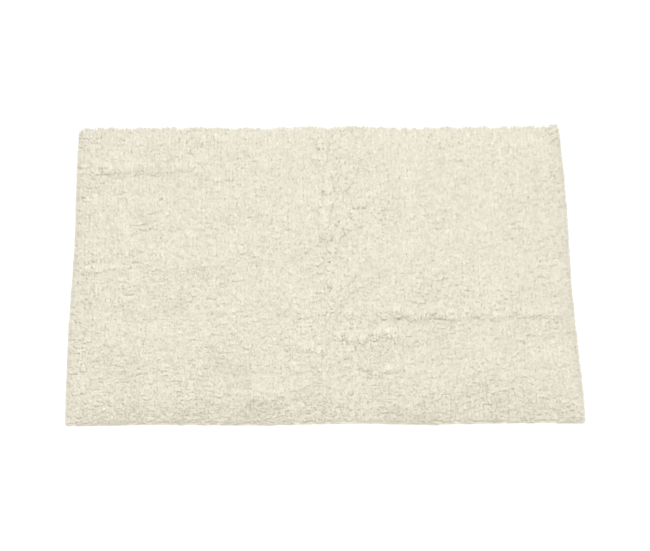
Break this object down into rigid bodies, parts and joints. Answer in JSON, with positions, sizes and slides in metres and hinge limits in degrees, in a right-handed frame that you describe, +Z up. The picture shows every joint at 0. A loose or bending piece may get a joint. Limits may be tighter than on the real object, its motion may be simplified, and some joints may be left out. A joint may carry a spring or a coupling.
{
  "type": "bath mat",
  "caption": "Rectangular tufted cotton bath mat with dense cut pile in rows, a woven base cloth, an anti-slip latex back and a taped, sewn edge.",
  "frame": {"origin": "on the floor, under the middle of the mat", "axes": "+X along the long side, +Y to the back, +Z up, through the thickness"},
  "size_m": [0.8, 0.5, 0.0145],
  "materials": {
    "pile_yarn": "matte",
    "base_cloth": "matte",
    "tape": "matte",
    "sewing_thread": "matte",
    "latex_coat": "matte"
  },
  "bodies": {
    "root": {"base_cloth": "base_cloth", "latex_coat": "latex_coat", "edge_tape_front": "tape", "edge_tape_back": "tape", "edge_tape_left": "tape", "edge_tape_right": "tape", "seam_thread_front": "sewing_thread", "seam_thread_back": "sewing_thread", "seam_thread_left": "sewing_thread", "seam_thread_right": "sewing_thread", "tuft_rows_01": "pile_yarn", "tuft_rows_02": "pile_yarn", "tuft_rows_03": "pile_yarn", "tuft_rows_04": "pile_yarn", "tuft_rows_05": "pile_yarn", "tuft_rows_06": "pile_yarn", "tuft_rows_07": "pile_yarn", "tuft_rows_08": "pile_yarn", "tuft_rows_09": "pile_yarn", "tuft_rows_10": "pile_yarn", "tuft_rows_11": "pile_yarn", "tuft_rows_12": "pile_yarn", "tuft_rows_13": "pile_yarn", "tuft_rows_14": "pile_yarn", "tuft_rows_15": "pile_yarn", "tuft_rows_16": "pile_yarn", "tuft_rows_17": "pile_yarn", "tuft_rows_18": "pile_yarn", "tuft_rows_19": "pile_yarn", "tuft_rows_20": "pile_yarn", "tuft_rows_21": "pile_yarn", "tuft_rows_22": "pile_yarn", "tuft_rows_23": "pile_yarn", "tuft_rows_24": "pile_yarn", "tuft_rows_25": "pile_yarn", "tuft_rows_26": "pile_yarn", "tuft_rows_27": "pile_yarn", "tuft_rows_28": "pile_yarn", "tuft_rows_29": "pile_yarn", "tuft_rows_30": "pile_yarn", "tuft_rows_31": "pile_yarn"}
  },
  "joints": []
}
